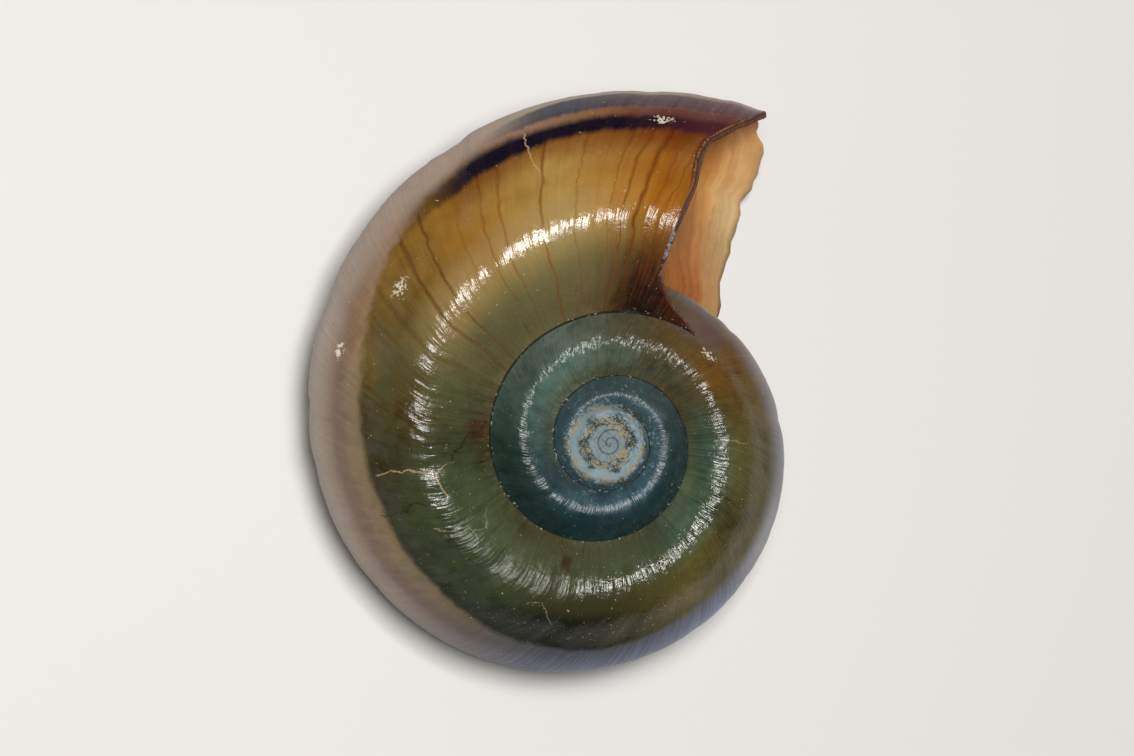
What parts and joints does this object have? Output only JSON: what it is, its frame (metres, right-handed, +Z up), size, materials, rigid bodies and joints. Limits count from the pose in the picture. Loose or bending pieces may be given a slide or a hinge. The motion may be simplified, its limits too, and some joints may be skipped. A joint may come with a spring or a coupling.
{
  "type": "ramshorn snail shell",
  "caption": "Empty coiled snail shell, low and nearly flat on its spire side, with a deep pit in its base and a wide slanting mouth with a thin chipped lip.",
  "frame": {"origin": "on the surface that the shell lies on, under the middle of its bounding box", "axes": "+Z up, the way the spire side faces; +Y along the shell's length; the mouth opens towards +X at the +Y end"},
  "size_m": [0.0382, 0.0458, 0.0206],
  "materials": {
    "shell": "satin"
  },
  "bodies": {
    "root": {"shell": "shell"}
  },
  "joints": []
}
